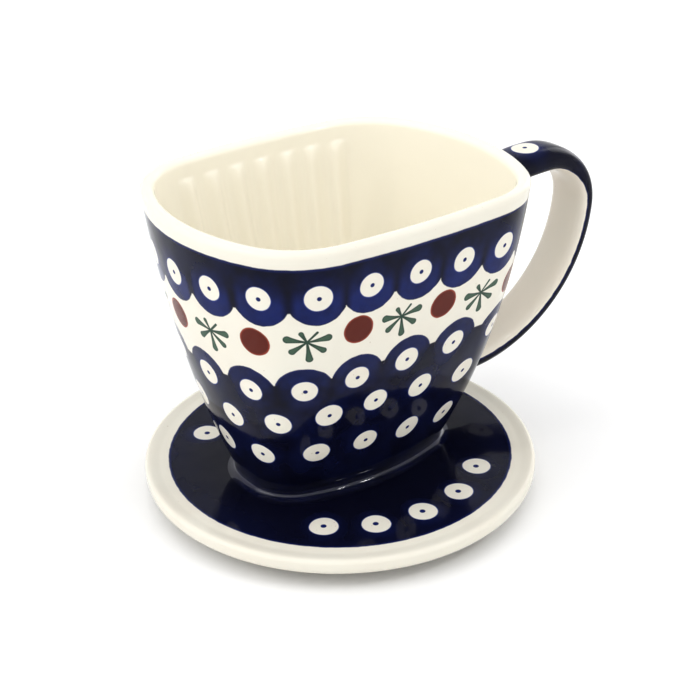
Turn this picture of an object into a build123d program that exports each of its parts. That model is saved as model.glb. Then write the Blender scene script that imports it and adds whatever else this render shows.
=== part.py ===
"""Stoneware pour-over coffee filter holder with a round base flange and a strap handle.

A wedge-shaped cone, ribbed inside, holds a flat-bottomed paper filter. It stands on a round
flange that lies on the mouth of a mug, and a low ring under the flange keeps it centred there.
Every piece is formed on its own in clay and luted to its neighbours before firing.

Millimetres. +Z is up, and the origin is on the axis of the locating ring, in the plane of the
flange's underside, which is the seat on the mug. The handle points along +X, and the holder is
symmetric about the XZ plane.
"""
import os
from math import atan2, cos, sin, sqrt

from build123d import *

# Locating ring
ring_height = 5.0
ring_outer_radius = 30.5
ring_wall = 5.0
ring_foot_rounding = 1.5

# Base flange
flange_radius = 62.5
flange_thickness = 5.0
flange_under_rounding = 2.6
flange_lip_rounding = 2.2
flange_lip_rise = 0.45
flange_lip_start = 56.0
drip_hole_radius = 2.0
drip_hole_count = 3
drip_hole_spacing = 14.0

# Filter cone: half sizes and arc radii of its outline at the flange and at the rim
cone_height = 92.7
foot_half_length = 34.5
foot_half_width = 20.5
foot_side_radius = 72.0
foot_end_radius = 45.0
foot_corner_radius = 15.0
rim_half_length = 56.1
rim_half_width = 45.3
rim_side_radius = 290.0
rim_end_radius = 66.5
rim_corner_radius = 27.0
wall_bow = 0.6
wall_thickness = 4.4
rim_rounding = 2.0
section_count = 4

# Ribs down the two long inner walls
rib_count = 7
rib_spacing = 9.5
rib_half_width = 2.6
rib_height = 1.3
rib_straight_end = 16.0
rib_run_out = 6.0
rib_sink = 0.3

# Strap handle: its centre line in the XZ plane, and its section
handle_start = (50.0, 83.0)
handle_start_slope = (1.0, 0.16)
handle_shoulder = (80.0, 85.6)
handle_outermost = (97.5, 67.0)
handle_elbow = (84.5, 38.3)
handle_end = (36.5, 24.4)
strap_width = 16.0
strap_thickness = 7.5
strap_back_crown = 1.6
strap_palm_crown = 0.6
strap_edge_rounding = 2.4

# Luting clay worked into the joints. A handle bead tapers along the strap, from its root inside
# the cone's wall to its tip, and both are distances from the strap's end.
cone_bead_radius = 1.9
handle_bead_root = 2.5
handle_bead_tip = 8.0
handle_bead_swell = 3.4
handle_bead_feather = 0.15

flange_top = flange_thickness
rim_top = flange_top + cone_height
overrun = 1.0


def wall_level(height):
    """Half length, half width and side, end and corner radius of the cone's outer wall."""
    share = (height - flange_top) / cone_height
    bowed = share + wall_bow * share * (1 - share)
    return (
        foot_half_length + (rim_half_length - foot_half_length) * bowed,
        foot_half_width + (rim_half_width - foot_half_width) * bowed,
        foot_side_radius + (rim_side_radius - foot_side_radius) * share,
        foot_end_radius + (rim_end_radius - foot_end_radius) * share,
        foot_corner_radius + (rim_corner_radius - foot_corner_radius) * share,
    )


def wall_sketch(height, inset=0.0):
    """Rounded outline with bulging sides, drawn level at a height and set in from the outer wall."""
    half_length, half_width, side_radius, end_radius, corner_radius = (
        size - inset for size in wall_level(height)
    )
    side_centre = Vector(0, half_width - side_radius)
    end_centre = Vector(half_length - end_radius, 0)
    # The corner's centre lies on one circle about each of the two other centres.
    side_reach = side_radius - corner_radius
    end_reach = end_radius - corner_radius
    gap = end_centre - side_centre
    along = (side_reach**2 - end_reach**2 + gap.length**2) / (2 * gap.length)
    across = sqrt(side_reach**2 - along**2)
    heading = atan2(gap.Y, gap.X)
    corner_centre = side_centre + Vector(
        along * cos(heading) + across * sin(heading), along * sin(heading) - across * cos(heading)
    )
    side_meets_corner = corner_centre + (corner_centre - side_centre).normalized() * corner_radius
    corner_meets_end = corner_centre + (corner_centre - end_centre).normalized() * corner_radius
    corner_middle = (side_meets_corner + corner_meets_end) * 0.5 - corner_centre
    with BuildSketch(Plane.XY.offset(height)) as sketch:
        with BuildLine():
            RadiusArc((0, half_width), side_meets_corner, side_radius)
            ThreePointArc(
                side_meets_corner,
                corner_centre + corner_middle.normalized() * corner_radius,
                corner_meets_end,
            )
            RadiusArc(corner_meets_end, (half_length, 0), end_radius)
            mirror(about=Plane.YZ)
            mirror(about=Plane.XZ)
        make_face()
    return sketch.sketch


def section_heights(bottom, top):
    return [bottom + (top - bottom) * step / (section_count - 1) for step in range(section_count)]


def inner_wall_point(side, offset, height, depth=0.0):
    """Point on a long inner wall, as far along it as the wall's length at that height allows."""
    half_length, half_width, side_radius, _, _ = wall_level(height)
    x = offset * half_length / rim_half_length
    inner_radius = side_radius - wall_thickness
    y = half_width - side_radius + sqrt(inner_radius**2 - x**2) + depth
    return (x, side * y, height)


# The cone's outer shape, filled: it is the wall's blank, and it trims the pieces luted to it.
with BuildPart() as cone_blank:
    for height in section_heights(flange_top, rim_top):
        add(wall_sketch(height))
    loft()

with BuildPart() as filter_cone:
    add(cone_blank.part)
    for height in section_heights(flange_top - overrun, rim_top + overrun):
        add(wall_sketch(height, wall_thickness))
    loft(mode=Mode.SUBTRACT)
    fillet(filter_cone.faces().sort_by(Axis.Z)[-1].edges(), rim_rounding)
    for side in (-1, 1):
        for index in range(rib_count):
            offset = (index - (rib_count - 1) / 2) * rib_spacing
            rib_bottom = flange_top - overrun
            rib_bend = rim_top - rib_straight_end
            with BuildLine() as rib_line:
                ThreePointArc(
                    inner_wall_point(side, offset, rib_bottom),
                    inner_wall_point(side, offset, (rib_bottom + rib_bend) / 2),
                    inner_wall_point(side, offset, rib_bend),
                )
                TangentArc(
                    rib_line.line @ 1,
                    inner_wall_point(side, offset, rim_top - rib_run_out, rib_height + rib_sink),
                    tangent=rib_line.line % 1,
                )
            rib_base = Plane(rib_line.line @ 0, x_dir=(1, 0, 0), z_dir=rib_line.line % 0)
            with BuildSketch(rib_base):
                Ellipse(rib_half_width, rib_height)
            sweep(path=rib_line.line)
    split(bisect_by=Plane.XY.offset(flange_top), keep=Keep.TOP)

with BuildPart() as base_flange:
    with BuildSketch(Plane.XZ):
        with BuildLine():
            Polyline(
                (flange_lip_start, flange_top),
                (0, flange_top),
                (0, 0),
                (flange_radius - flange_under_rounding, 0),
            )
            under_edge = TangentArc(
                (flange_radius - flange_under_rounding, 0),
                (flange_radius, flange_under_rounding),
                tangent=(1, 0),
            )
            rim_edge = Line(
                under_edge @ 1, (flange_radius, flange_top + flange_lip_rise - flange_lip_rounding)
            )
            lip = TangentArc(
                rim_edge @ 1,
                (flange_radius - flange_lip_rounding, flange_top + flange_lip_rise),
                tangent=(0, 1),
            )
            Spline(lip @ 1, (flange_lip_start, flange_top), tangents=((-1, 0), (-1, 0)))
        make_face()
    revolve(axis=Axis.Z)
    with Locations(Plane.XY.offset(flange_top)):
        with GridLocations(drip_hole_spacing, 0, drip_hole_count, 1):
            Hole(drip_hole_radius)

with BuildPart() as locating_ring:
    with BuildSketch():
        Circle(ring_outer_radius)
        Circle(ring_outer_radius - ring_wall, mode=Mode.SUBTRACT)
    extrude(amount=-ring_height)
    fillet(locating_ring.faces().sort_by(Axis.Z)[0].edges(), ring_foot_rounding)

with BuildLine(Plane.XZ) as strap_line:
    top_run = TangentArc(handle_start, handle_shoulder, tangent=handle_start_slope)
    shoulder = TangentArc(handle_shoulder, handle_outermost, tangent=top_run % 1)
    back = TangentArc(handle_outermost, handle_elbow, tangent=shoulder % 1)
    TangentArc(handle_elbow, handle_end, tangent=back % 1)
strap_path = strap_line.wires()[0]


def strap_sketch(distance, margin=0.0):
    """Section of the strap at a distance along its centre line, larger all round by a margin."""
    half_width = strap_width / 2 + margin
    half_thickness = strap_thickness / 2 + margin
    back_corner = half_thickness - strap_back_crown
    palm_corner = strap_palm_crown - half_thickness
    section_plane = Plane(
        strap_path.position_at(distance, position_mode=PositionMode.LENGTH),
        x_dir=(0, 1, 0),
        z_dir=strap_path.tangent_at(distance, position_mode=PositionMode.LENGTH),
    )
    with BuildSketch(section_plane) as sketch:
        with BuildLine():
            ThreePointArc(
                (-half_width, back_corner), (0, half_thickness), (half_width, back_corner)
            )
            Line((half_width, back_corner), (half_width, palm_corner))
            ThreePointArc(
                (half_width, palm_corner), (0, -half_thickness), (-half_width, palm_corner)
            )
            Line((-half_width, palm_corner), (-half_width, back_corner))
        make_face()
        fillet(sketch.vertices(), strap_edge_rounding + margin)
    return sketch.sketch


# The strap runs on into the cone at both ends, and is then trimmed to the cone's outside.
with BuildPart() as strap:
    add(strap_sketch(0))
    sweep(path=strap_path)

with BuildPart() as handle:
    add(strap.part)
    add(cone_blank.part, mode=Mode.SUBTRACT)

with BuildPart() as cone_luting_bead:
    add(cone_blank.part)
    with BuildSketch(Plane.XY.offset(flange_top)):
        Circle(flange_lip_start)
    extrude(amount=-flange_thickness)
    level_edges = cone_luting_bead.edges().filter_by_position(Axis.Z, flange_top, flange_top)
    cone_foot_edges = level_edges.sort_by(SortBy.LENGTH)[:-1]
    fillet(cone_foot_edges, cone_bead_radius)
    split(bisect_by=Plane.XY.offset(flange_top), keep=Keep.TOP)
    add(cone_blank.part, mode=Mode.SUBTRACT)

with BuildPart() as handle_upper_luting_bead:
    add(strap_sketch(handle_bead_root, handle_bead_swell))
    add(strap_sketch(handle_bead_tip, handle_bead_feather))
    loft()
    add(strap.part, mode=Mode.SUBTRACT)
    add(cone_blank.part, mode=Mode.SUBTRACT)

with BuildPart() as handle_lower_luting_bead:
    add(strap_sketch(strap_path.length - handle_bead_root, handle_bead_swell))
    add(strap_sketch(strap_path.length - handle_bead_tip, handle_bead_feather))
    loft()
    add(strap.part, mode=Mode.SUBTRACT)
    add(cone_blank.part, mode=Mode.SUBTRACT)

pieces = {
    "locating_ring": locating_ring,
    "base_flange": base_flange,
    "filter_cone": filter_cone,
    "cone_luting_bead": cone_luting_bead,
    "handle": handle,
    "handle_upper_luting_bead": handle_upper_luting_bead,
    "handle_lower_luting_bead": handle_lower_luting_bead,
}
os.makedirs("parts", exist_ok=True)
for name, piece in pieces.items():
    piece.part.label = name
    export_step(piece.part, f"parts/{name}.step")
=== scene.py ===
"""Looks of the stoneware filter holder: meshes, glazes, stamped decoration, light and camera.

Everything is in metres and in the CAD frame: the seat on the mug is z = 0, and the handle points
along +X. The sizes below are in millimetres, as the potter would give them, and MM turns them into
metres.
"""
import math

import bmesh
import bpy
import numpy as np
from mathutils import Matrix, Vector


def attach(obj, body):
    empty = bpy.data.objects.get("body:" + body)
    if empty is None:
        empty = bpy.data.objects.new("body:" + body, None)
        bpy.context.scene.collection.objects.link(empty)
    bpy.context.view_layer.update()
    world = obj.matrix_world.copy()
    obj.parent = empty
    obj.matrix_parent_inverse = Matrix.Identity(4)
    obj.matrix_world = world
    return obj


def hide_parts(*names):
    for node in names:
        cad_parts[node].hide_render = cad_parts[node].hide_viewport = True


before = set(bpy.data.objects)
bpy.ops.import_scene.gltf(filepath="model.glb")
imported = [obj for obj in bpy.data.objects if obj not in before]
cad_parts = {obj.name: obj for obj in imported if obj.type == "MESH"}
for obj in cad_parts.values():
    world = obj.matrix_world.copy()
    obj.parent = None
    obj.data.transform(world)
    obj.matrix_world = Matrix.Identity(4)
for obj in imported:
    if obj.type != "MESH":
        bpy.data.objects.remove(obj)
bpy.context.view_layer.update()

MM = 0.001
TAU = 2 * math.pi

# ---------------------------------------------------------------- sizes, in millimetres
# The outlines, heights and handle line are the CAD model's. The flange's raised edge, the ribs, the
# strap's section and the beads are drawn a millimetre or two differently, as they look glazed.
RING_HEIGHT = 5.0
RING_OUTER = 30.5
RING_WALL = 5.0
RING_ROUNDING = 1.5
FLANGE_RADIUS = 62.5
FLANGE_TOP = 5.0
LIP_RISE = 0.45
LIP_ROUNDING = 1.4
LIP_START = 57.5
UNDER_ROUNDING = 2.6
DRIP_HOLE_RADIUS = 2.0
DRIP_HOLES = (-14.0, 0.0, 14.0)
CONE_HEIGHT = 92.7
RIM_TOP = FLANGE_TOP + CONE_HEIGHT
RIM_ROUNDING = 2.0
WALL = 4.4
WALL_BOW = 0.6
FOOT_OUTLINE = np.array([34.5, 20.5, 72.0, 45.0, 15.0])
RIM_OUTLINE = np.array([56.1, 45.3, 290.0, 66.5, 27.0])
RIB_OFFSETS = [9.5 * k for k in range(-3, 4)]
RIB_HALF_WIDTH = 3.9
RIB_HEIGHT = 1.4
RIB_NOSE = 5.0
RIB_TOP = RIM_TOP - 6.0
STRAP_HALF_WIDTH = 8.0
STRAP_HALF_THICKNESS = 3.75
STRAP_POWER = 2.7
# Stations of the handle's centre line as (x, z), each joined to the next by a tangent arc
HANDLE_STATIONS = ((50.0, 83.0), (80.0, 85.6), (97.5, 67.0), (84.5, 38.3), (36.5, 24.4))
HANDLE_HEADING = math.atan2(0.16, 1.0)
# The strap is thicker over its shoulder, by this share at the middle of the swelling
SHOULDER_SWELL = 0.22
SHOULDER_PLACE = 26.0
SHOULDER_SPREAD = 13.0
HANDLE_BEAD_WIDTH = 2.6
CONE_BEAD_REACH = 3.5

# Fineness of the meshes
CONE_COLUMNS = 480
FLANGE_COLUMNS = 360
RING_COLUMNS = 240
STRAP_COLUMNS = 72
STRAP_ROWS = 170
FLOOR_COLUMNS = 96
SHARES = np.arange(CONE_COLUMNS) / CONE_COLUMNS
SHARP_ANGLE = math.radians(50)


# ---------------------------------------------------------------- the cone's outline
def outline_sizes(height):
    """Half length, half width, and side, end and corner radius of the outer wall at a height."""
    share = (height - FLANGE_TOP) / CONE_HEIGHT
    bowed = share + WALL_BOW * share * (1 - share)
    sizes = FOOT_OUTLINE + (RIM_OUTLINE - FOOT_OUTLINE) * share
    sizes[:2] = FOOT_OUTLINE[:2] + (RIM_OUTLINE[:2] - FOOT_OUTLINE[:2]) * bowed
    return sizes


def outline_centres(sizes):
    """Centres of the side, end and corner arcs in the first quadrant."""
    half_length, half_width, side_radius, end_radius, corner_radius = sizes
    side = np.array([0.0, half_width - side_radius])
    end = np.array([half_length - end_radius, 0.0])
    gap = end - side
    length = math.hypot(*gap)
    side_reach = side_radius - corner_radius
    end_reach = end_radius - corner_radius
    along = (side_reach**2 - end_reach**2 + length**2) / (2 * length)
    across = math.sqrt(side_reach**2 - along**2)
    unit = gap / length
    return side, end, side + along * unit + across * np.array([unit[1], -unit[0]])


def outline_points(height, inset, shares):
    """Points at shares of the outline's length, and that length.

    Shares start at the middle of the -Y side and run towards +X.
    """
    sizes = outline_sizes(height) - inset
    side, end, corner = outline_centres(sizes)
    side_angle = math.atan2(*(corner - side))
    end_angle = math.atan2(corner[1] - end[1], corner[0] - end[0])
    quarter = (
        (side, sizes[2], math.pi / 2, -side_angle),
        (corner, sizes[4], math.pi / 2 - side_angle, end_angle - math.pi / 2 + side_angle),
        (end, sizes[3], end_angle, -end_angle),
    )
    lengths = np.array([abs(radius * sweep) for _, radius, _, sweep in quarter])
    reach = np.concatenate([[0.0], np.cumsum(lengths)])
    turned = (shares % 1.0) * 4
    quadrant = np.minimum(turned.astype(int), 3)
    within = turned - quadrant
    within = np.where(quadrant % 2 == 1, 1 - within, within) * reach[-1]
    x = np.zeros(len(shares))
    y = np.zeros(len(shares))
    for k, (centre, radius, start, sweep) in enumerate(quarter):
        chosen = (within >= reach[k]) & (within <= reach[k + 1])
        angle = start + sweep * (within - reach[k]) / lengths[k]
        x = np.where(chosen, centre[0] + radius * np.cos(angle), x)
        y = np.where(chosen, centre[1] + radius * np.sin(angle), y)
    x = np.where(quadrant >= 2, -x, x)
    y = np.where((quadrant == 0) | (quadrant == 3), -y, y)
    return np.stack([x, y, np.full(len(shares), float(height))], axis=1), 4 * reach[-1]


def outside_by(point):
    """How far a point lies outside the cone's outer wall, level with it."""
    sizes = outline_sizes(point[2])
    side, end, corner = outline_centres(sizes)
    p = np.abs(point[:2])
    beyond_side = np.cross(p - side, corner - side) < 0
    beyond_end = np.cross(p - end, corner - end) > 0
    if beyond_side:
        return math.hypot(*(p - side)) - sizes[2]
    if beyond_end:
        return math.hypot(*(p - end)) - sizes[3]
    return math.hypot(*(p - corner)) - sizes[4]


# ---------------------------------------------------------------- meshes
def make_piece(name, rings, closed_along=False, uvs=None):
    """Mesh from rings of points that all have the same number of points and close on themselves.

    uvs holds one array (rings, points + 1, 2) for each named UV map.
    """
    rings = np.asarray(rings)
    count, around = rings.shape[:2]
    last = count if closed_along else count - 1
    faces = []
    corners = []
    for i in range(last):
        nxt = (i + 1) % count
        for j in range(around):
            k = (j + 1) % around
            faces.append((i * around + j, i * around + k, nxt * around + k, nxt * around + j))
            corners.append(((i, j), (i, j + 1), (i + 1, j + 1), (i + 1, j)))
    mesh = bpy.data.meshes.new(name)
    mesh.from_pydata((rings.reshape(-1, 3) * MM).tolist(), [], faces)
    for label, values in (uvs or {}).items():
        layer = mesh.uv_layers.new(name=label)
        index = np.array(corners).reshape(-1, 2)
        layer.data.foreach_set("uv", values[index[:, 0], index[:, 1]].astype(np.float32).ravel())
    mesh.shade_smooth()
    mesh.set_sharp_from_angle(angle=SHARP_ANGLE)
    piece = bpy.data.objects.new(name, mesh)
    bpy.context.scene.collection.objects.link(piece)
    return piece


def fill_rings(piece, around, starts):
    """Closes the rings that start at the given vertices, each with one face."""
    mesh = bmesh.new()
    mesh.from_mesh(piece.data)
    mesh.verts.ensure_lookup_table()
    for start in starts:
        mesh.faces.new([mesh.verts[start + j] for j in range(around)])
    mesh.to_mesh(piece.data)
    mesh.free()


def fill_ends(piece, around):
    """Closes the first and last ring of a piece."""
    fill_rings(piece, around, (0, len(piece.data.vertices) - around))


def face_outwards(piece):
    """Turns every face of a closed piece outwards."""
    mesh = bmesh.new()
    mesh.from_mesh(piece.data)
    bmesh.ops.recalc_face_normals(mesh, faces=mesh.faces)
    mesh.to_mesh(piece.data)
    mesh.free()


def quarter_turn(steps):
    """Angles from 0 to 90 degrees."""
    return [math.pi / 2 * k / steps for k in range(steps + 1)]


def hand_waviness(x, y, z, size, seed):
    """Smooth unevenness of a hand-finished surface, between 0 and 1."""
    total = np.zeros_like(x)
    rng = np.random.default_rng(seed)
    for _ in range(6):
        wave = rng.normal(size=3) / size
        phase = rng.uniform(0, TAU)
        total += np.sin(wave[0] * x + wave[1] * y + wave[2] * z + phase)
    return 0.5 + total / 12


def rib_rise(points, height, half_length):
    """How far the ribs stand out of the inner wall."""
    nose = min(max((RIB_TOP - height) / RIB_NOSE, 0), 1)
    fade = math.sqrt(1 - (1 - nose) ** 2)
    scale = half_length / RIM_OUTLINE[0]
    rise = np.zeros(len(points))
    for offset in RIB_OFFSETS:
        away = np.abs(points[:, 0] / scale - offset) / RIB_HALF_WIDTH
        rise = np.maximum(rise, RIB_HEIGHT * np.cos(np.clip(away, 0, 1) * math.pi / 2) ** 2)
    on_side = np.abs(points[:, 1]) > 0.55 * outline_sizes(height)[1]
    return rise * fade * on_side


def cone_profile():
    """(height, inset) pairs up the outside, over the rim and down the inside."""
    below_rim = RIM_TOP - RIM_ROUNDING
    outside = [(FLANGE_TOP + (below_rim - FLANGE_TOP) * k / 60, 0.0) for k in range(60)]
    lip_out = [
        (RIM_TOP - RIM_ROUNDING * (1 - math.sin(a)), RIM_ROUNDING * (1 - math.cos(a)))
        for a in quarter_turn(7)
    ]
    lip_in = [
        (RIM_TOP - RIM_ROUNDING * (1 - math.cos(a)), WALL - RIM_ROUNDING * (1 - math.sin(a)))
        for a in quarter_turn(7)
    ]
    # Rows are closer together over the ribs' noses.
    under_noses = RIM_TOP - 14.0
    inside = [(below_rim + (under_noses - below_rim) * k / 26, WALL) for k in range(1, 26)]
    inside += [(under_noses + (FLANGE_TOP - under_noses) * k / 46, WALL) for k in range(47)]
    return outside + lip_out + lip_in[1:] + inside


def make_cone():
    """The cone's wall, with its ribs and slightly uneven by hand."""
    around = np.concatenate([SHARES, [1.0]])
    rings = []
    pattern = []
    girth = []
    slant = 0.0
    before = None
    for height, inset in cone_profile():
        points, perimeter = outline_points(height, inset, SHARES)
        # Both faces are eased into the wall, never out of it.
        side = 1 - 2 * inset / WALL
        unevenness = 0.14 * side * hand_waviness(*points.T, 14.0, 3)
        if inset >= WALL:
            unevenness = unevenness + rib_rise(points, height, outline_sizes(height)[0])
        inwards = points[:, :2] / np.hypot(points[:, 0], points[:, 1])[:, None]
        points[:, :2] -= inwards * unevenness[:, None]
        here = np.array([-outline_sizes(height)[1] + inset, height])
        if before is not None:
            slant += math.hypot(*(here - before))
        before = here
        rings.append(points)
        pattern.append(np.stack([around, np.full(len(around), slant / 100)], axis=1))
        girth.append(np.full((len(around), 2), [perimeter / 1000, height / 100]))
    cone = make_piece(
        "filter_cone_glazed",
        rings,
        closed_along=True,
        uvs={
            "Pattern": np.array(pattern + [pattern[0]]),
            "Girth": np.array(girth + [girth[0]]),
        },
    )
    face_outwards(cone)
    return cone


def slant_at(height):
    """Length up the middle of the outer wall from the flange to a height."""
    steps = np.linspace(FLANGE_TOP, height, 60)
    widths = np.array([outline_sizes(h)[1] for h in steps])
    return float(np.hypot(np.diff(steps), np.diff(widths)).sum())


# ---------------------------------------------------------------- flange and ring
def turned_rings(profile, columns):
    """Rings of a surface of revolution about Z from (radius, height) pairs."""
    angles = np.arange(columns) / columns * TAU
    return [
        np.stack([r * np.cos(angles), r * np.sin(angles), np.full(columns, h)], axis=1)
        for r, h in profile
    ]


def flange_profile():
    """(radius, height) pairs from the middle of the top, over the edge, to the middle below."""
    innermost = 0.4
    lip_radius = FLANGE_RADIUS - LIP_ROUNDING
    lip_top = FLANGE_TOP + LIP_RISE
    profile = [(innermost + (LIP_START - innermost) * k / 26, FLANGE_TOP) for k in range(26)]
    for k in range(10):
        t = k / 10
        rise = LIP_RISE * t * t * (3 - 2 * t)
        profile.append((LIP_START + (lip_radius - LIP_START) * t, FLANGE_TOP + rise))
    for a in quarter_turn(8):
        drop = LIP_ROUNDING * (1 - math.cos(a))
        profile.append((lip_radius + LIP_ROUNDING * math.sin(a), lip_top - drop))
    under = FLANGE_RADIUS - UNDER_ROUNDING
    for a in quarter_turn(8):
        profile.append((under + UNDER_ROUNDING * math.cos(a), UNDER_ROUNDING * (1 - math.sin(a))))
    profile += [(under + (innermost - under) * k / 16, 0.0) for k in range(1, 17)]
    return profile


def make_flange():
    """The round plate, with an edge slightly uneven by hand and three drip holes."""
    rings = turned_rings(flange_profile(), FLANGE_COLUMNS)
    for ring in rings:
        radius = np.hypot(ring[:, 0], ring[:, 1])
        if radius[0] > LIP_START:
            dip = 0.12 * hand_waviness(*ring.T, 16.0, 8)
            ring[:, :2] *= (1 - dip / radius)[:, None]
    flange = make_piece("base_flange_glazed", rings)
    fill_ends(flange, FLANGE_COLUMNS)
    face_outwards(flange)
    drill_holes(flange)
    return flange


def drill_holes(flange):
    """Cuts the drip holes with a boolean, and removes the cutter."""
    cutter_mesh = bmesh.new()
    for x in DRIP_HOLES:
        bmesh.ops.create_cone(
            cutter_mesh,
            cap_ends=True,
            segments=40,
            radius1=DRIP_HOLE_RADIUS * MM,
            radius2=DRIP_HOLE_RADIUS * MM,
            depth=3 * FLANGE_TOP * MM,
            matrix=Matrix.Translation((x * MM, 0, FLANGE_TOP / 2 * MM)),
        )
    mesh = bpy.data.meshes.new("drip_hole_cutter")
    cutter_mesh.to_mesh(mesh)
    cutter_mesh.free()
    cutter = bpy.data.objects.new("drip_hole_cutter", mesh)
    bpy.context.scene.collection.objects.link(cutter)
    cut = flange.modifiers.new("drip_holes", "BOOLEAN")
    cut.operation = "DIFFERENCE"
    cut.object = cutter
    cut.solver = "EXACT"
    bpy.context.view_layer.update()
    evaluated = flange.evaluated_get(bpy.context.evaluated_depsgraph_get())
    shaped = bpy.data.meshes.new_from_object(evaluated)
    flange.modifiers.clear()
    flange.data = shaped
    shaped.name = flange.name
    shaped.shade_smooth()
    shaped.set_sharp_from_angle(angle=SHARP_ANGLE)
    bpy.data.objects.remove(cutter)
    bpy.data.meshes.remove(mesh)


def make_ring():
    """The ring under the flange, rounded at its foot."""
    inner = RING_OUTER - RING_WALL
    rounding = [
        (RING_ROUNDING * (1 - math.cos(a)), -RING_HEIGHT + RING_ROUNDING * (1 - math.sin(a)))
        for a in quarter_turn(6)
    ]
    profile = [(inner, 0.0), (inner, -RING_HEIGHT * 0.35)]
    profile += [(inner + inset, height) for inset, height in rounding]
    profile += [(RING_OUTER - inset, height) for inset, height in rounding[::-1]]
    profile += [(RING_OUTER, -RING_HEIGHT * 0.35), (RING_OUTER, 0.0)]
    rings = turned_rings(profile, RING_COLUMNS)
    ring = make_piece("locating_ring_glazed", rings, closed_along=True)
    face_outwards(ring)
    return ring


# ---------------------------------------------------------------- handle
def tangent_arc(start, heading, end):
    """Centre, radius, start angle and sweep of the arc that leaves start along heading for end."""
    chord = np.array(end) - np.array(start)
    turn = math.atan2(chord[1], chord[0]) - heading
    turn = (turn + math.pi) % TAU - math.pi
    radius = math.hypot(*chord) / (2 * math.sin(turn))
    centre = np.array(start) + radius * np.array([-math.sin(heading), math.cos(heading)])
    return centre, radius, heading - math.pi / 2, 2 * turn


def handle_arcs():
    """Arcs of the strap's centre line, from its upper end to its lower one."""
    heading = HANDLE_HEADING
    arcs = []
    for start, end in zip(HANDLE_STATIONS[:-1], HANDLE_STATIONS[1:]):
        arcs.append(tangent_arc(start, heading, end))
        heading += arcs[-1][3]
    return arcs


HANDLE_ARCS = handle_arcs()
HANDLE_LENGTHS = [abs(radius * sweep) for _, radius, _, sweep in HANDLE_ARCS]
HANDLE_LENGTH = sum(HANDLE_LENGTHS)


def handle_at(distance):
    """Point and outward (back) direction of the strap's centre line in the XZ plane."""
    for (centre, radius, start, sweep), length in zip(HANDLE_ARCS, HANDLE_LENGTHS):
        if distance <= length or length == HANDLE_LENGTHS[-1]:
            break
        distance -= length
    angle = start + sweep * distance / length
    ray = np.array([math.cos(angle), math.sin(angle)])
    return centre + radius * ray, -ray


def strap_point(distance, around, margin=0.0):
    """Point on the strap's surface. around is 0 on the middle of the back and 0.5 on the palm side.

    margin is how far the point stands off the surface.
    """
    centre, back = handle_at(distance)
    angle = around * TAU
    power = 2 / STRAP_POWER
    side = math.sin(angle)
    up = math.cos(angle)
    across = math.copysign(abs(side) ** power, side) * (STRAP_HALF_WIDTH + margin)
    out = math.copysign(abs(up) ** power, up) * (STRAP_HALF_THICKNESS + margin)
    if out > 0:
        from_shoulder = (distance - SHOULDER_PLACE) / SHOULDER_SPREAD
        out *= 1 + SHOULDER_SWELL * math.exp(-(from_shoulder**2))
    return np.array([centre[0] + back[0] * out, across, centre[1] + back[1] * out])


def meet_wall(near, around, margin=0.0):
    """Distance along the strap, near one of its ends, where its surface meets the cone's wall."""
    low, high = (0.0, 14.0) if near == "upper" else (HANDLE_LENGTH, HANDLE_LENGTH - 14.0)
    for _ in range(30):
        middle = (low + high) / 2
        if outside_by(strap_point(middle, around, margin)) < 0:
            low = middle
        else:
            high = middle
    return (low + high) / 2


def make_handle():
    """The strap, with both ends cut to the cone's wall."""
    rings = []
    layout = []
    arounds = np.arange(STRAP_COLUMNS) / STRAP_COLUMNS
    starts = [meet_wall("upper", a) - 0.8 for a in arounds]
    ends = [meet_wall("lower", a) + 0.8 for a in arounds]
    for k in range(STRAP_ROWS + 1):
        t = k / STRAP_ROWS
        along = [s + (e - s) * t for s, e in zip(starts, ends)]
        rings.append([strap_point(distance, a) for distance, a in zip(along, arounds)])
        layout.append(
            [(j / STRAP_COLUMNS, distance / 100) for j, distance in enumerate(along + along[:1])]
        )
    handle = make_piece("handle_glazed", rings, uvs={"Strap": np.array(layout)})
    fill_ends(handle, STRAP_COLUMNS)
    face_outwards(handle)
    return handle


def bezier(a, b, c, steps):
    """Points on the curve from a to c that is drawn towards b."""
    ts = np.linspace(0, 1, steps + 1)[:, None]
    return (1 - ts) ** 2 * a + 2 * ts * (1 - ts) * b + ts**2 * c


def make_handle_bead(name, near):
    """Concave roll of clay around one end of the strap."""
    towards = 1 if near == "upper" else -1
    loops = []
    for j in range(STRAP_COLUMNS):
        around = j / STRAP_COLUMNS
        foot = meet_wall(near, around)
        corner = strap_point(foot, around)
        on_strap = strap_point(foot + towards * 3.0, around, 0.02)
        wall_foot = meet_wall(near, around, HANDLE_BEAD_WIDTH)
        on_wall = strap_point(wall_foot, around, HANDLE_BEAD_WIDTH)
        curve = bezier(on_strap, corner, on_wall, 8)
        inner = strap_point(foot, around, -0.3)
        loops.append(np.vstack([curve, inner[None]]))
    loops = np.array(loops).transpose(1, 0, 2)
    bead = make_piece(name, loops, closed_along=True)
    face_outwards(bead)
    return bead


def make_cone_bead():
    """Concave roll of clay between the cone's foot and the flange."""
    foot, _ = outline_points(FLANGE_TOP, 0.0, SHARES)
    up, _ = outline_points(FLANGE_TOP + CONE_BEAD_REACH * 0.75, -0.02, SHARES)
    out, _ = outline_points(FLANGE_TOP, -CONE_BEAD_REACH, SHARES)
    under, _ = outline_points(FLANGE_TOP, 0.3, SHARES)
    rows = []
    for t in np.linspace(0, 1, 9):
        rows.append((1 - t) ** 2 * up + 2 * t * (1 - t) * foot + t**2 * out)
    rows.append(under)
    bead = make_piece("cone_luting_bead_glazed", rows, closed_along=True)
    face_outwards(bead)
    return bead


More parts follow.
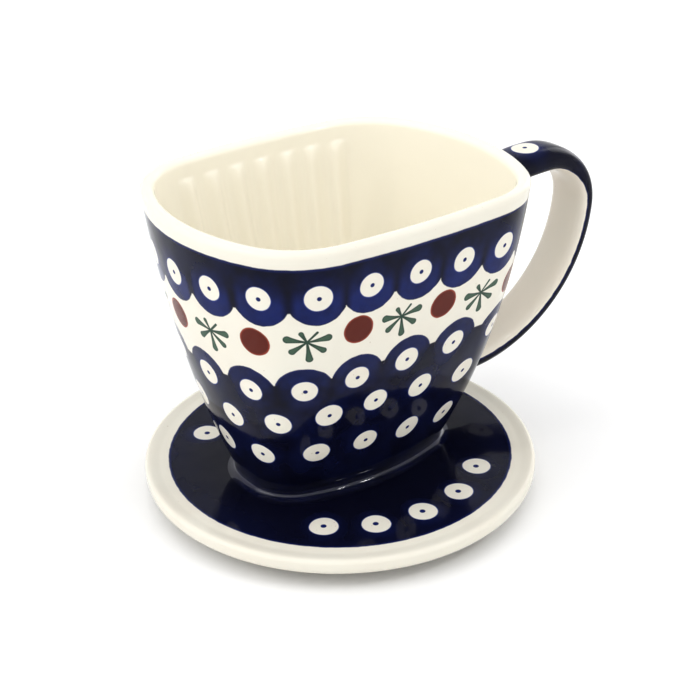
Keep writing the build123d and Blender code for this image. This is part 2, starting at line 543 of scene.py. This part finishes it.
# ---------------------------------------------------------------- arithmetic on shader sockets
class Number:
    """A number in a node tree: arithmetic on it adds the nodes."""

    def __init__(self, tree, socket):
        self.tree = tree
        self.socket = socket

    def apply(self, operation, *others):
        node = self.tree.nodes.new("ShaderNodeMath")
        node.operation = operation
        for slot, value in zip(node.inputs, (self,) + others):
            if isinstance(value, Number):
                self.tree.links.new(value.socket, slot)
            else:
                slot.default_value = value
        return Number(self.tree, node.outputs[0])

    def __add__(self, other):
        return self.apply("ADD", other)

    def __sub__(self, other):
        return self.apply("SUBTRACT", other)

    def __rsub__(self, other):
        return (self * -1) + other

    def __mul__(self, other):
        return self.apply("MULTIPLY", other)

    def __truediv__(self, other):
        return self.apply("DIVIDE", other)

    __radd__ = __add__

    def least(self, other):
        return self.apply("MINIMUM", other)

    def most(self, other):
        return self.apply("MAXIMUM", other)

    def abs(self):
        return self.apply("ABSOLUTE")

    def nearest(self):
        return self.apply("ROUND")

    def below(self, edge, soft):
        """1 where the number is under edge, 0 over it, with a soft step between."""
        node = self.tree.nodes.new("ShaderNodeMapRange")
        node.interpolation_type = "SMOOTHSTEP"
        self.tree.links.new(self.socket, node.inputs["Value"])
        low, high = node.inputs["From Min"], node.inputs["From Max"]
        for slot, value in ((low, edge - soft), (high, edge + soft)):
            if isinstance(value, Number):
                self.tree.links.new(value.socket, slot)
            else:
                slot.default_value = value
        node.inputs["To Min"].default_value = 1.0
        node.inputs["To Max"].default_value = 0.0
        return Number(self.tree, node.outputs[0])

    def above(self, edge, soft):
        return 1 - self.below(edge, soft)


def length_of(x, y):
    """Length of the diagonal of x and y."""
    return (x * x + y * y).apply("SQRT")


def combined(operation, numbers):
    """One number from several, by an operation such as MAXIMUM between each two."""
    total, *others = numbers
    for number in others:
        total = total.apply(operation, number)
    return total


def colour_mix(tree, share, low, high):
    """Colour between low and high, each a colour or a socket."""
    node = tree.nodes.new("ShaderNodeMix")
    node.data_type = "RGBA"
    tree.links.new(share.socket, node.inputs["Factor"])
    for name, value in (("A", low), ("B", high)):
        slot = next(s for s in node.inputs if s.name == name and s.type == "RGBA")
        if isinstance(value, tuple):
            slot.default_value = (*value, 1.0)
        else:
            tree.links.new(value, slot)
    return next(s for s in node.outputs if s.type == "RGBA")


def uv_numbers(tree, name):
    """The two numbers of a UV map."""
    node = tree.nodes.new("ShaderNodeUVMap")
    node.uv_map = name
    split = tree.nodes.new("ShaderNodeSeparateXYZ")
    tree.links.new(node.outputs[0], split.inputs[0])
    return Number(tree, split.outputs[0]), Number(tree, split.outputs[1])


def place_numbers(tree):
    """Place on the object in millimetres."""
    node = tree.nodes.new("ShaderNodeTexCoord")
    split = tree.nodes.new("ShaderNodeSeparateXYZ")
    tree.links.new(node.outputs["Object"], split.inputs[0])
    return [Number(tree, out) * 1000 for out in split.outputs]


def noise(tree, size, detail, seed):
    """Cloudy number between 0 and 1. size is in millimetres."""
    place = tree.nodes.new("ShaderNodeTexCoord")
    node = tree.nodes.new("ShaderNodeTexNoise")
    node.noise_dimensions = "4D"
    node.inputs["W"].default_value = seed
    node.inputs["Scale"].default_value = 1000.0 / size
    node.inputs["Detail"].default_value = detail
    tree.links.new(place.outputs["Object"], node.inputs["Vector"])
    return Number(tree, node.outputs["Fac"])


def chance(tree, number, seed):
    """A number between 0 and 1 that is fixed for each whole number."""
    node = tree.nodes.new("ShaderNodeTexWhiteNoise")
    node.noise_dimensions = "2D"
    join = tree.nodes.new("ShaderNodeCombineXYZ")
    tree.links.new(number.socket, join.inputs[0])
    join.inputs[1].default_value = seed
    tree.links.new(join.outputs[0], node.inputs["Vector"])
    return Number(tree, node.outputs["Value"])


# ---------------------------------------------------------------- colours, linear
CREAM = (0.80, 0.78, 0.695)
CREAM_WARM = (0.79, 0.75, 0.66)
CREAM_PALM = (0.84, 0.77, 0.67)
# Cream glaze inside the cone, painted lighter than the outside's cream as painted light for the
# light that falls in through the opening
CREAM_INSIDE_LIT = (0.92, 0.88, 0.765)
NAVY = (0.0040, 0.0045, 0.016)
COBALT = (0.012, 0.022, 0.125)
FRINGE = (0.05, 0.09, 0.36)
RED_BROWN = (0.125, 0.024, 0.016)
RED_EDGE = (0.30, 0.055, 0.03)
GREEN = (0.070, 0.125, 0.088)
GREEN_DARK = (0.030, 0.062, 0.046)
CLAY = (0.62, 0.53, 0.42)

CONE_PUPIL_RADIUS = 0.68
PLATE_EYE_RADIUS = 4.35
PLATE_FRINGE_RADIUS = 4.58
DOT_RADIUS = 4.7
# Round stamps of cobalt behind the eyes, whose edges end the two navy fields
SCALLOP_RADIUS = 8.9
CREST_RADIUS = 8.6
# Height of the upper edge of the navy field, under the rim
FIELD_TOP = 92.9
# Circle of stamps on the flange: its radius, the place of the middle stamp, and the step
CIRCLE_RADIUS = 44.6
CIRCLE_MIDDLE = math.radians(91.8)
CIRCLE_STEP = math.radians(20.0)
FLANGE_FIELD_RADIUS = 54.95
# Half length, half width and power of the flange's unpainted floor inside the cone
CONE_FLOOR = (32.3, 18.3, 2.6)
# Stamps down the handle's back: distance of the first from the handle's upper end, and the step
STRAP_FIRST = 25.0
STRAP_STEP = 19.0
# Angle, length and half width of the tip of each leaf of the sprig, in degrees and millimetres
LEAVES = (
    (11, 6.0, 1.20),
    (50, 4.2, 0.42),
    (121, 3.3, 0.75),
    (173, 5.5, 1.25),
    (221, 5.3, 1.05),
    (278, 6.1, 1.10),
    (326, 5.6, 1.00),
)


def glaze(name):
    """Material with a glossy, slightly uneven clear glaze. Its base colour is set afterwards."""
    material = bpy.data.materials.new(name)
    material.use_nodes = True
    tree = material.node_tree
    shader = tree.nodes["Principled BSDF"]
    shader.inputs["IOR"].default_value = 1.45
    shader.inputs["Specular IOR Level"].default_value = 0.17
    roughness = 0.055 + noise(tree, 9.0, 3.0, 5.0) * 0.05
    tree.links.new(roughness.socket, shader.inputs["Roughness"])
    bump = tree.nodes.new("ShaderNodeBump")
    bump.inputs["Strength"].default_value = 0.35
    bump.inputs["Distance"].default_value = 0.0006
    ripple = noise(tree, 11.0, 1.0, 1.0) + noise(tree, 1.6, 1.0, 2.0) * 0.05
    tree.links.new(ripple.socket, bump.inputs["Height"])
    tree.links.new(bump.outputs[0], shader.inputs["Normal"])
    return material, tree, shader


def speckled(tree, colour, seed):
    """Cream body with faint cloudiness and a few iron specks."""
    cloudy = colour_mix(tree, noise(tree, 24.0, 3.0, seed).below(0.5, 0.35), colour, CREAM_WARM)
    spots = noise(tree, 0.9, 0.0, seed + 3).above(0.84, 0.02) * 0.35
    return colour_mix(tree, spots, cloudy, (0.42, 0.33, 0.22))


def paint_eyes(tree, ground, discs, pupils, seed):
    """Cream discs with a cobalt pupil, stamped over a ground colour."""
    stamped = colour_mix(tree, discs, ground, speckled(tree, CREAM, seed))
    return colour_mix(tree, pupils, stamped, COBALT)


class Row:
    """A row of hand stamps round the cone.

    count stamps start at the share first of the way round, at a height. bunch and arch are the
    cosine and sine parts of two waves, each with one crest on each long side: bunch, a share of the
    way round, moves the stamps together, and arch, in millimetres, moves them up. eye is the radius
    of the stamp, and wander is how far each strays from its place.
    """

    def __init__(self, count, first, height, bunch, arch, seed, eye=4.1, wander=0.2):
        self.count = count
        self.first = first
        self.height = height
        self.bunch = bunch
        self.arch = arch
        self.seed = seed
        self.eye = eye
        self.wander = wander


# Length up the wall for each millimetre of height near the foot, used for every row's arch
WALL_SLOPE = 1.08

TOP_ROW = Row(20, -0.0072, 82.5, (-0.0005, -0.0015), (0.95, -0.89), 1.0, eye=3.8)
MOTIF_ROW = Row(20, 0.0297, 68.2, (-0.0038, -0.0055), (1.68, -0.95), 5.0, wander=0.4)
SECOND_ROW = Row(16, 0.0004, 51.6, (-0.0083, -0.0038), (1.93, 0.0), 2.0, eye=3.9)
THIRD_ROW = Row(15, 0.0358, 38.7, (-0.0134, -0.0056), (2.48, -1.15), 3.0)
FOURTH_ROW = Row(14, 0.0273, 23.7, (-0.0022, -0.0026), (0.72, -1.86), 4.0)


class Stamps:
    """Place within the nearest stamp of a row, in millimetres along the wall."""

    def __init__(self, tree, around, slant, perimeter, row):
        turn = around * (2 * TAU)
        cosine, sine = turn.apply("COSINE"), turn.apply("SINE")
        cell = (around - cosine * row.bunch[0] - sine * row.bunch[1] - row.first) * row.count
        stretch = (sine * row.bunch[0] - cosine * row.bunch[1]) * (2 * TAU) + 1
        self.number = cell.nearest().apply("FLOORED_MODULO", float(row.count))
        offset = (cell - cell.nearest()) / (stretch * row.count)
        middle = (around - offset) * (2 * TAU)
        arch = middle.apply("COSINE") * row.arch[0] + middle.apply("SINE") * row.arch[1]
        sideways = (chance(tree, self.number, row.seed) - 0.5) * 2 * row.wander
        upwards = (chance(tree, self.number, row.seed + 0.37) - 0.5) * 2 * row.wander
        # level follows the row's arch smoothly. y is level with the middle of the nearest stamp.
        smooth_arch = cosine * row.arch[0] + sine * row.arch[1]
        above = slant - slant_at(row.height)
        self.level = above - smooth_arch * WALL_SLOPE
        self.x = offset * perimeter + sideways
        self.y = above - arch * WALL_SLOPE + upwards
        self.away = length_of(self.x, self.y)
        self.size = row.eye + (chance(tree, self.number, row.seed + 0.71) - 0.5) * 0.35


def cone_material():
    """Two navy fields with rows of eyes, and dots and sprigs in the cream band between them."""
    material, tree, shader = glaze("stamped_cone_glaze")
    around, slant = uv_numbers(tree, "Pattern")
    slant = slant * 100
    perimeter = uv_numbers(tree, "Girth")[0] * 1000
    wobble = (noise(tree, 2.6, 2.0, 11.0) - 0.5) * 0.55

    top, motif, second, third, fourth = (
        Stamps(tree, around, slant, perimeter, row)
        for row in (TOP_ROW, MOTIF_ROW, SECOND_ROW, THIRD_ROW, FOURTH_ROW)
    )

    # The two dark fields, the upper one down to the first row's scallops and the lower one up to
    # the second row's
    upper = (top.away + wobble).below(SCALLOP_RADIUS, 0.16)
    upper = upper.most((top.level + wobble * 0.5).above(-4.2, 0.25))
    upper = upper * (slant + wobble * 0.6).below(slant_at(FIELD_TOP), 0.16)
    lower = (second.away + wobble).below(CREST_RADIUS, 0.16)
    lower = lower.most((second.level + wobble * 0.5).below(3.0, 0.25))
    dark = upper.most(lower)

    rows = (top, second, third, fourth)
    edges = [row.away + wobble * 0.4 for row in rows]
    middles = [length_of(row.x - 0.15, row.y + 0.1) + wobble * 0.3 for row in rows]
    halos = [row.away.below(6.6, 2.6) * share for row, share in zip(rows, (0.5, 0.4, 0.2, 0.15))]
    eyes = combined("MAXIMUM", [e.below(row.size, 0.13) for e, row in zip(edges, rows)])
    fringe = combined("MAXIMUM", [e.below(row.size + 0.22, 0.14) for e, row in zip(edges, rows)])
    pupils = combined("MAXIMUM", [middle.below(CONE_PUPIL_RADIUS, 0.12) for middle in middles])
    glow = combined("MAXIMUM", halos)

    # Cobalt is bluest round each stamp and in the first row's scallops, and nearly black between.
    scallop = top.away.below(SCALLOP_RADIUS, 0.5) * top.y.below(1.5, 4.5)
    scallop = scallop * top.x.abs().below(6.9, 1.3)
    patchy = noise(tree, 5.0, 4.0, 21.0).above(0.46, 0.16)
    tone = (glow * (0.25 + patchy * 0.55)).most(scallop * (0.62 + patchy * 0.3))
    crest = second.away.below(CREST_RADIUS + 0.1, 0.4) * second.y.above(0.5, 3.0)
    crest = crest * second.x.abs().below(7.0, 1.3)
    border = (second.away - (CREST_RADIUS - 0.1)).abs().below(0.45, 0.5)
    border = border * second.level.above(3.2, 0.3)
    tone = tone.most(crest * (0.28 + patchy * 0.2)).most(border * 0.75)
    top_edge = (slant - slant_at(FIELD_TOP - 0.2)).abs().below(0.5, 0.5)
    tone = tone.most(top_edge * 0.6)
    tone = tone + noise(tree, 9.0, 4.0, 27.0).above(0.5, 0.14) * 0.16
    ink = colour_mix(tree, tone.least(1.0), NAVY, COBALT)
    ink = colour_mix(tree, fringe * 0.6, ink, FRINGE)

    body = speckled(tree, CREAM, 31.0)
    # The inside of the cone gets the lighter cream: the glaze's own colour brightened as painted
    # light
    inside = slant.above(slant_at(RIM_TOP) + 2.0, 2.0)
    body = colour_mix(tree, inside, body, CREAM_INSIDE_LIT)

    # Red dots and green sprigs take turns in the cream band.
    odd = motif.number.apply("FLOORED_MODULO", 2.0).above(0.5, 0.01)
    red = (motif.away + wobble * 0.7).below(DOT_RADIUS, 0.14) * (1 - odd)
    red_ink = colour_mix(tree, motif.away.above(DOT_RADIUS - 0.4, 0.3), RED_BROWN, RED_EDGE)
    body = colour_mix(tree, red, body, red_ink)
    tilt = (chance(tree, motif.number, 7.7) - 0.5) * 0.5
    leaves = []
    for angle, length, tip in LEAVES:
        turn = tilt + math.radians(angle)
        cosine, sine = turn.apply("COSINE"), turn.apply("SINE")
        along = motif.x * cosine + motif.y * sine
        across = motif.y * cosine - motif.x * sine
        beyond = (along - length).most(0.0) + (along * -1).most(0.0)
        growth = (along / length).most(0.0).least(1.0).apply("POWER", 1.6)
        half_width = 0.32 + growth * (tip - 0.32)
        leaves.append(length_of(across, beyond) - half_width + wobble * 0.3)
    leaf = combined("MINIMUM", leaves)
    sprig = leaf.below(0.0, 0.13) * odd
    pooled = (leaf.above(-0.35, 0.35) + motif.away.below(2.0, 1.5)).least(1.0) * 0.8
    body = colour_mix(tree, sprig, body, colour_mix(tree, pooled, GREEN, GREEN_DARK))

    field = dark * slant.below(slant_at(FIELD_TOP) + 3.0, 0.5)
    painted = colour_mix(tree, field, body, ink)
    painted = paint_eyes(tree, painted, eyes * field, pupils * field, 37.0)
    tree.links.new(painted, shader.inputs["Base Color"])
    return material


def flange_material():
    """Navy field with five eyes on each side of the cone, inside a cream border."""
    material, tree, shader = glaze("stamped_flange_glaze")
    x, y, z = place_numbers(tree)
    radius = length_of(x, y)
    wobble = (noise(tree, 2.6, 2.0, 12.0) - 0.5) * 0.55
    angle = y.abs().apply("ARCTAN2", x)
    cell = (angle - CIRCLE_MIDDLE) / CIRCLE_STEP
    number = cell.nearest().most(-2.0).least(2.0)
    other_side = y.above(0.0, 0.01) * 7
    slip = (chance(tree, number + other_side, 3.1) - 0.5) * 0.6
    across = (cell - number) * CIRCLE_STEP * CIRCLE_RADIUS
    out = radius - CIRCLE_RADIUS + slip
    away = length_of(across, out)
    edge = away + wobble * 0.35
    disc = edge.below(PLATE_EYE_RADIUS, 0.13)
    pupil = length_of(across - 0.1, out + 0.1).below(0.9, 0.12)
    half_length, half_width, power = CONE_FLOOR
    reach_x = (x / half_length).abs().apply("POWER", power)
    reach_y = (y / half_width).abs().apply("POWER", power)
    field = (radius + wobble * 0.8).below(FLANGE_FIELD_RADIUS, 0.18)
    field = field * z.above(FLANGE_TOP - 0.5, 0.2) * (reach_x + reach_y).above(1.0, 0.03)
    patchy = noise(tree, 14.0, 3.0, 22.0).above(0.45, 0.2)
    tone = away.below(6.4, 2.2) * (0.06 + patchy * 0.2)
    tone = tone.most((radius - 55.0).abs().below(0.5, 0.6) * 0.9)
    tone = tone + patchy * (radius - 42.0).most(0.0) * 0.011
    ink = colour_mix(tree, tone.least(1.0), NAVY, COBALT)
    ink = colour_mix(tree, edge.below(PLATE_FRINGE_RADIUS, 0.14) * 0.6, ink, FRINGE)
    painted = colour_mix(tree, field, speckled(tree, CREAM, 33.0), ink)
    painted = paint_eyes(tree, painted, disc * field, pupil * field, 38.0)
    tree.links.new(painted, shader.inputs["Base Color"])
    return material


def handle_material():
    """Navy back with a row of eyes, and a cream palm side."""
    material, tree, shader = glaze("stamped_handle_glaze")
    around, along = uv_numbers(tree, "Strap")
    along = along * 100
    from_back = 0.5 - (around - 0.5).abs()
    wobble = noise(tree, 2.4, 2.0, 13.0) - 0.5
    # The sides are dark as far as the shoulder. Further down only a thin border of them is.
    edge_share = 0.272 + along.below(48.0, 11.0) * 0.068
    border = from_back + wobble * 0.022 - edge_share
    painted_side = border.below(0.0, 0.004)
    cell = (along - STRAP_FIRST) / STRAP_STEP
    number = cell.nearest().most(0.0).least(5.0)
    across = place_numbers(tree)[1]
    away = length_of(across, (cell - number) * STRAP_STEP)
    edge = away + wobble * 0.2
    disc = edge.below(PLATE_EYE_RADIUS, 0.13)
    pupil = away.below(0.75, 0.12)
    patchy = noise(tree, 12.0, 3.0, 23.0).above(0.45, 0.2)
    tone = away.below(6.8, 2.4) * (0.2 + patchy * 0.35)
    tone = tone.most((border + 0.004).abs().below(0.008, 0.01) * 0.8)
    ink = colour_mix(tree, tone, NAVY, COBALT)
    ink = colour_mix(tree, edge.below(PLATE_FRINGE_RADIUS, 0.14) * 0.6, ink, FRINGE)
    painted = colour_mix(tree, painted_side, speckled(tree, CREAM_PALM, 34.0), ink)
    on_back = from_back.below(0.25, 0.01)
    painted = paint_eyes(tree, painted, disc * on_back, pupil * on_back, 39.0)
    tree.links.new(painted, shader.inputs["Base Color"])
    return material


def joint_material():
    """Thick dark glaze that pools in the joints, shinier than the rest."""
    material, tree, shader = glaze("cobalt_joint_glaze")
    shader.inputs["Specular IOR Level"].default_value = 0.8
    patchy = noise(tree, 10.0, 3.0, 24.0).above(0.5, 0.2)
    tree.links.new(colour_mix(tree, patchy * 0.2, NAVY, COBALT), shader.inputs["Base Color"])
    return material


def ring_material():
    """Cream glaze that stops short of the bare clay foot."""
    material, tree, shader = glaze("ring_glaze_and_bare_foot")
    z = place_numbers(tree)[2]
    bare = (z + (noise(tree, 3.0, 2.0, 14.0) - 0.5) * 0.5).below(-RING_HEIGHT + 0.7, 0.1)
    clay = colour_mix(tree, noise(tree, 1.2, 3.0, 15.0), CLAY, CREAM_WARM)
    colour = colour_mix(tree, bare, speckled(tree, CREAM, 35.0), clay)
    tree.links.new(colour, shader.inputs["Base Color"])
    rough = 0.08 + bare * 0.65
    tree.links.new(rough.socket, shader.inputs["Roughness"])
    return material


# ---------------------------------------------------------------- pieces on the frame
cone = make_cone()
cone.data.materials.append(cone_material())
flange = make_flange()
flange.data.materials.append(flange_material())
ring = make_ring()
ring.data.materials.append(ring_material())
handle = make_handle()
handle.data.materials.append(handle_material())
joints = joint_material()
cone_bead = make_cone_bead()
upper_bead = make_handle_bead("handle_upper_bead_glazed", "upper")
lower_bead = make_handle_bead("handle_lower_bead_glazed", "lower")
for bead in (cone_bead, upper_bead, lower_bead):
    bead.data.materials.append(joints)

for piece, node, slot in (
    (cone, "filter_cone", "decorated_cone"),
    (flange, "base_flange", "decorated_flange"),
    (ring, "locating_ring", "bare_foot"),
    (handle, "handle", "decorated_handle"),
    (cone_bead, "cone_luting_bead", "cobalt_joint"),
    (upper_bead, "handle_upper_luting_bead", "cobalt_joint"),
    (lower_bead, "handle_lower_luting_bead", "cobalt_joint"),
):
    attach(piece, "root")
    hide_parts(node)


# ---------------------------------------------------------------- floor, light and camera
def make_floor():
    """Pale sweep: a level floor that curves up into a backdrop on every side."""
    level = -RING_HEIGHT
    reach = 900.0
    bend = 500.0
    profile = [(1.0, level), (400.0, level), (reach, level)]
    profile += [
        (reach + bend * math.sin(a), level + bend * (1 - math.cos(a))) for a in quarter_turn(12)
    ]
    profile.append((reach + bend, 1500.0))
    floor = make_piece("floor", turned_rings(profile, FLOOR_COLUMNS))
    fill_rings(floor, FLOOR_COLUMNS, (0,))
    material = bpy.data.materials.new("white_sweep")
    material.use_nodes = True
    shader = material.node_tree.nodes["Principled BSDF"]
    shader.inputs["Base Color"].default_value = (0.93, 0.93, 0.93, 1)
    shader.inputs["Roughness"].default_value = 0.7
    floor.data.materials.append(material)


LIGHTS_TARGET = Vector((0, 0, 0.05))


def add_softbox(name, place, width, height, power):
    """White area light that faces the middle of the object. Sizes here are in metres."""
    light = bpy.data.lights.new(name, "AREA")
    light.shape = "RECTANGLE"
    light.size = width
    light.size_y = height
    light.energy = power
    lamp = bpy.data.objects.new(name, light)
    lamp.location = place
    lamp.rotation_euler = (LIGHTS_TARGET - lamp.location).to_track_quat("-Z", "Y").to_euler()
    bpy.context.scene.collection.objects.link(lamp)


def add_camera():
    """Camera 0.44 m away, from the front left and 27 degrees up."""
    azimuth = math.radians(-35.16)
    elevation = math.radians(27.39)
    roll = math.radians(-0.97)
    distance = 0.43905
    target = Vector((0, 0, 0.045))
    back = Vector(
        (
            math.sin(azimuth) * math.cos(elevation),
            -math.cos(azimuth) * math.cos(elevation),
            math.sin(elevation),
        )
    )
    level = Vector((math.cos(azimuth), math.sin(azimuth), 0))
    upright = back.cross(level)
    right = math.cos(roll) * level + math.sin(roll) * upright
    up = math.cos(roll) * upright - math.sin(roll) * level
    data = bpy.data.cameras.new("camera")
    data.sensor_width = 36.0
    data.lens = 73.0
    data.shift_x = 0.017
    data.shift_y = -0.0192
    data.clip_start = 0.01
    data.clip_end = 20.0
    camera = bpy.data.objects.new("camera", data)
    camera.matrix_world = Matrix(
        (
            (right.x, up.x, back.x, 0),
            (right.y, up.y, back.y, 0),
            (right.z, up.z, back.z, 0),
            (0, 0, 0, 1),
        )
    )
    camera.location = target + back * distance
    bpy.context.scene.collection.objects.link(camera)
    bpy.context.scene.camera = camera


make_floor()
add_softbox("overhead", (-0.35, 0.0, 1.1), 1.6, 1.6, 6.9)
add_softbox("left", (-1.0, 0.2, 0.7), 0.7, 0.7, 2.5)
add_softbox("right", (1.0, 0.3, 0.45), 0.5, 0.8, 2.0)
add_softbox("lamp_near", (0.28, -0.72, 0.95), 0.05, 0.05, 1.0)
add_softbox("lamp_far", (0.50, -0.62, 0.92), 0.05, 0.05, 1.0)
world = bpy.data.worlds.new("studio")
bpy.context.scene.world = world
world.use_nodes = True
background = world.node_tree.nodes["Background"]
background.inputs["Color"].default_value = (1, 1, 1, 1)
background.inputs["Strength"].default_value = 0.68
bpy.context.scene.view_settings.gamma = 0.86
bpy.context.scene.view_settings.view_transform = "Standard"
add_camera()
